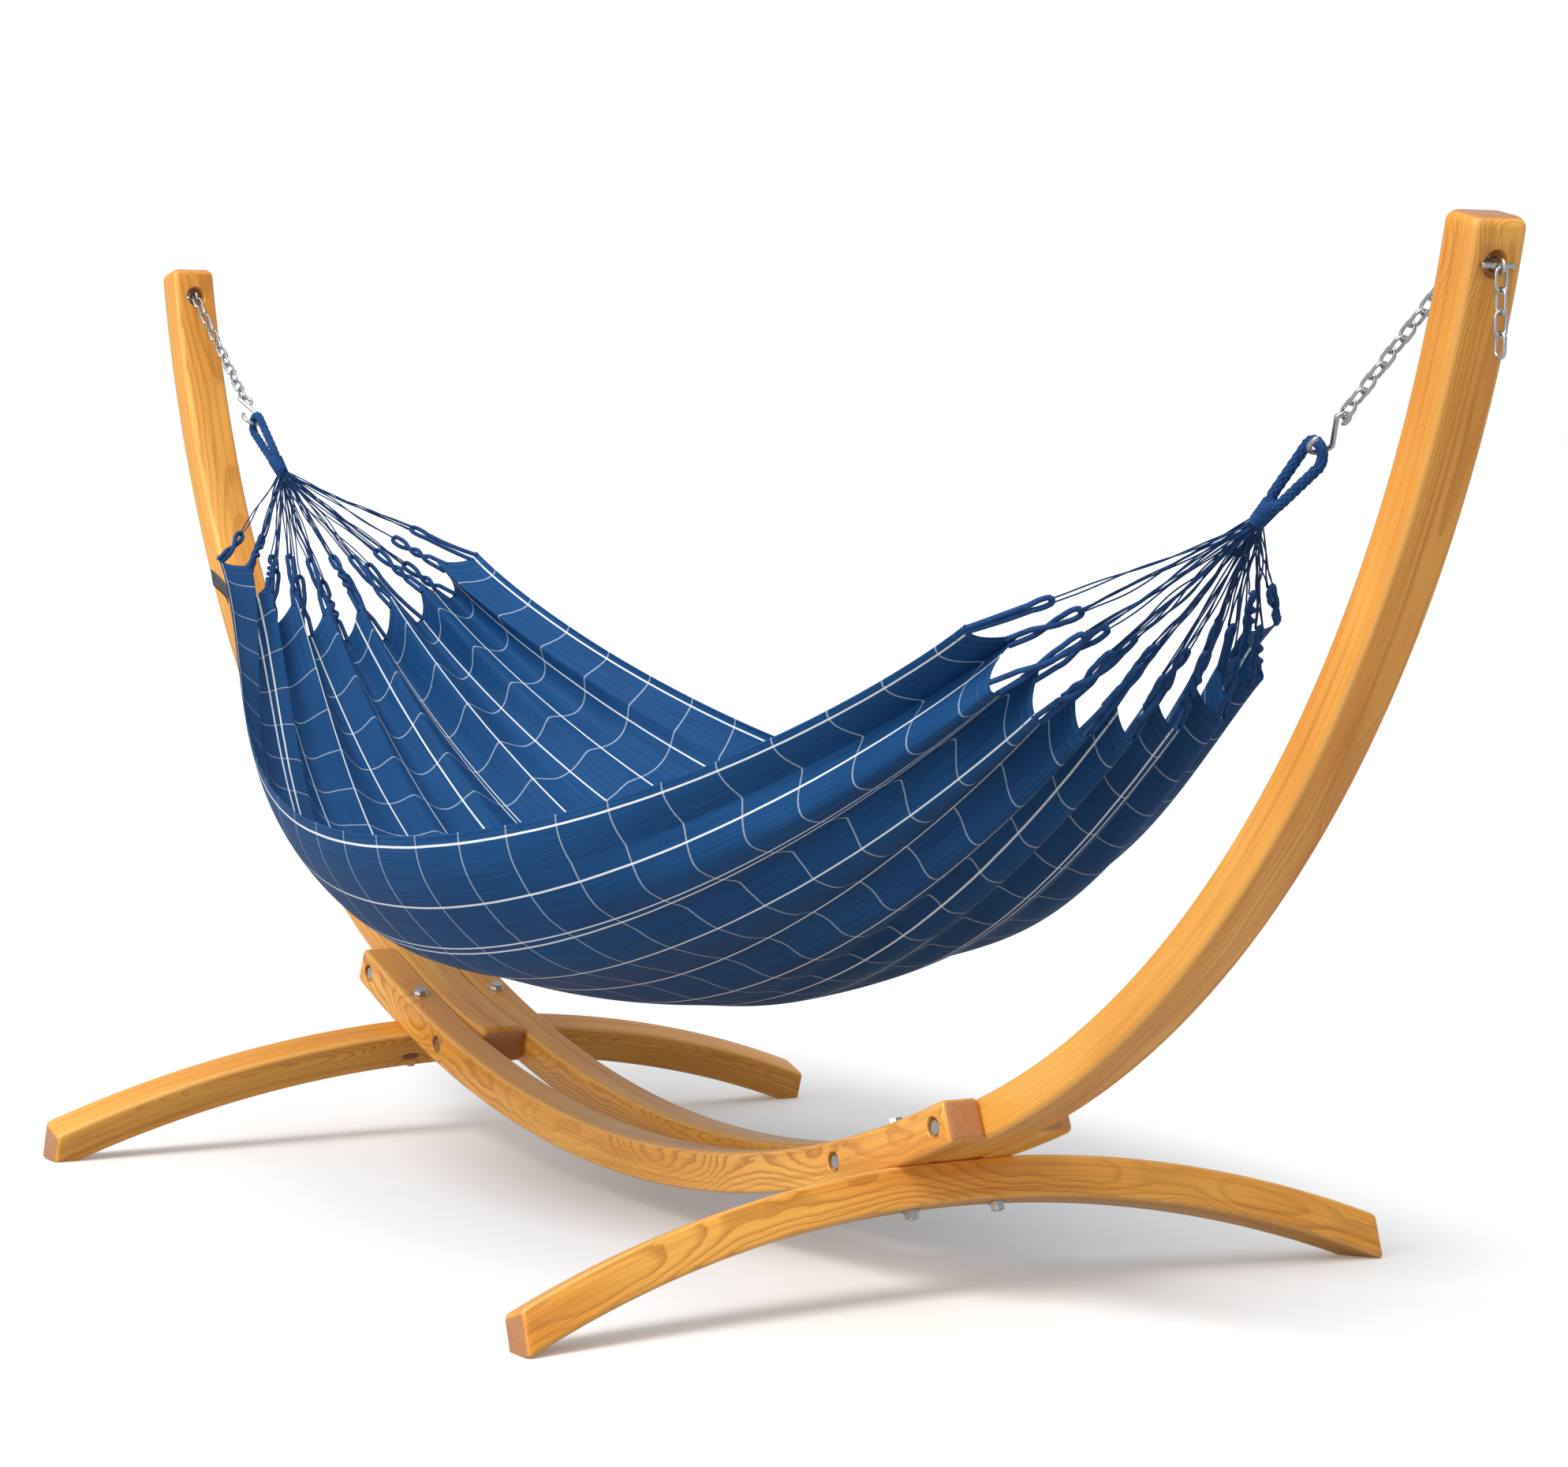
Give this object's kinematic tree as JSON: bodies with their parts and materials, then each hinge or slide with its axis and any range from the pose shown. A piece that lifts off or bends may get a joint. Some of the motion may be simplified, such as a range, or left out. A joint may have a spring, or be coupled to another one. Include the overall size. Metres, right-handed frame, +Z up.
{
  "type": "hammock on stand",
  "caption": "Striped-check cloth hammock hung by cords, hooks and chains from a free-standing curved laminated-wood stand with arched cross feet.",
  "frame": {"origin": "on the floor under the middle of the stand", "axes": "+X along the stand, +Y across it towards the rear rail, +Z up"},
  "size_m": [3.5792, 1.296, 1.3614],
  "materials": {
    "larch": "oiled laminated larch, satin",
    "zinc_steel": "bright zinc plate",
    "navy_cloth": "plain-woven cotton, navy with a fine white check",
    "navy_cord": "twisted and braided cord, navy",
    "label_cloth": "woven label, plain"
  },
  "bodies": {
    "stand": {"arm_left": "larch", "arm_right": "larch", "rail_front": "larch", "rail_rear": "larch", "foot_left": "larch", "foot_right": "larch", "arm_bolt_left_inner": "zinc_steel", "arm_nut_left_inner": "zinc_steel", "arm_bolt_left_outer": "zinc_steel", "arm_nut_left_outer": "zinc_steel", "arm_bolt_right_inner": "zinc_steel", "arm_nut_right_inner": "zinc_steel", "arm_bolt_right_outer": "zinc_steel", "arm_nut_right_outer": "zinc_steel", "foot_bolt_left_front": "zinc_steel", "foot_nut_left_front": "zinc_steel", "foot_bolt_left_rear": "zinc_steel", "foot_nut_left_rear": "zinc_steel", "foot_bolt_right_front": "zinc_steel", "foot_nut_right_front": "zinc_steel", "foot_bolt_right_rear": "zinc_steel", "foot_nut_right_rear": "zinc_steel", "chain_left_anchor": "zinc_steel", "chain_right_anchor": "zinc_steel", "retaining_pin_left": "zinc_steel", "retaining_pin_right": "zinc_steel"},
    "chain_left": {"chain_left_link_01": "zinc_steel", "chain_left_link_02": "zinc_steel", "chain_left_link_03": "zinc_steel", "chain_left_link_04": "zinc_steel", "chain_left_link_05": "zinc_steel", "chain_left_link_06": "zinc_steel", "chain_left_link_07": "zinc_steel", "chain_left_link_08": "zinc_steel", "chain_left_link_09": "zinc_steel", "chain_left_link_10": "zinc_steel", "chain_left_link_11": "zinc_steel", "chain_left_link_12": "zinc_steel", "s_hook_left": "zinc_steel"},
    "chain_right": {"chain_right_link_01": "zinc_steel", "chain_right_link_02": "zinc_steel", "chain_right_link_03": "zinc_steel", "chain_right_link_04": "zinc_steel", "chain_right_link_05": "zinc_steel", "chain_right_link_06": "zinc_steel", "chain_right_link_07": "zinc_steel", "chain_right_link_08": "zinc_steel", "chain_right_link_09": "zinc_steel", "chain_right_link_10": "zinc_steel", "chain_right_link_11": "zinc_steel", "chain_right_link_12": "zinc_steel", "s_hook_right": "zinc_steel"},
    "hammock": {"hammock_bed": "navy_cloth", "hammock_label": "label_cloth", "head_loop_left": "navy_cord", "head_loop_right": "navy_cord", "cord_fan_left": "navy_cord", "cord_fan_right": "navy_cord"},
    "tail_left": {"chain_left_tail": "zinc_steel"},
    "tail_right": {"chain_right_tail": "zinc_steel"}
  },
  "joints": [
    {"name": "chain_left_swing", "type": "hinge", "parent": "stand", "child": "chain_left", "pos_m": [-1.71731, 0, 1.3094], "axis": [1, 0, 0], "range_deg": [-25, 25]},
    {"name": "chain_right_swing", "type": "hinge", "parent": "stand", "child": "chain_right", "pos_m": [1.71731, 0, 1.3094], "axis": [1, 0, 0], "range_deg": [-25, 25]},
    {"name": "hammock_roll", "type": "hinge", "parent": "chain_left", "child": "hammock", "pos_m": [-1.46333, 0, 1.09628], "axis": [1, 0, 0], "range_deg": [-15, 15]},
    {"name": "tail_left_swing", "type": "hinge", "parent": "stand", "child": "tail_left", "pos_m": [-1.78046, 0, 1.29813], "axis": [0, 1, 0], "range_deg": [-8, 60]},
    {"name": "tail_right_swing", "type": "hinge", "parent": "stand", "child": "tail_right", "pos_m": [1.78046, 0, 1.29813], "axis": [0, -1, 0], "range_deg": [-8, 60]}
  ],
  "couplings": [
    {"joint": "chain_right_swing", "follows": "chain_left_swing", "ratio": 1}
  ]
}
